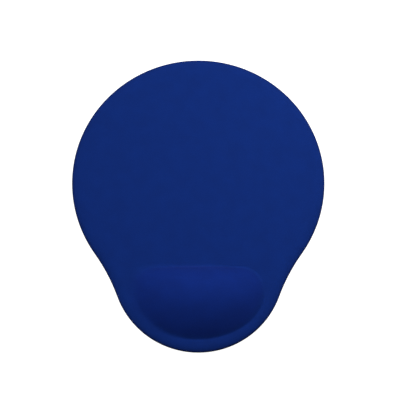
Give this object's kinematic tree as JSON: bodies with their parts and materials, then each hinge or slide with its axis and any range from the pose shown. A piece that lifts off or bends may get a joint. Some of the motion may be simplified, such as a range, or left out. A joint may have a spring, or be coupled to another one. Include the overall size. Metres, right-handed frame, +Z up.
{
  "type": "mouse pad with gel wrist rest",
  "caption": "Teardrop mouse pad with a D-shaped gel wrist pillow under one stretched knit cover, bonded to a foam sheet and a non-slip rubber base.",
  "frame": {"origin": "on the desk, under the middle of the pad's outline", "axes": "+Z up from the desk, -Y towards the user and the wrist pillow, +Y towards the far edge of the mousing area, +X to the user's right"},
  "size_m": [0.19, 0.224, 0.0199],
  "materials": {
    "grip_rubber": "matt black, finely embossed",
    "hot_melt": "thin translucent film",
    "foam": "dark closed-cell foam",
    "gel_film": "clear glossy polyurethane film",
    "gel": "clear soft polyurethane gel",
    "laminate": "thin film bonded to the back of the knit",
    "blue_knit": "royal blue fine knit, matt with a faint sheen"
  },
  "bodies": {
    "root": {"grip_base": "grip_rubber", "base_adhesive": "hot_melt", "foam_sheet": "foam", "gel_lower_film": "gel_film", "gel_core": "gel", "gel_upper_film": "gel_film", "cover_laminate": "laminate", "cover_fabric": "blue_knit"}
  },
  "joints": []
}
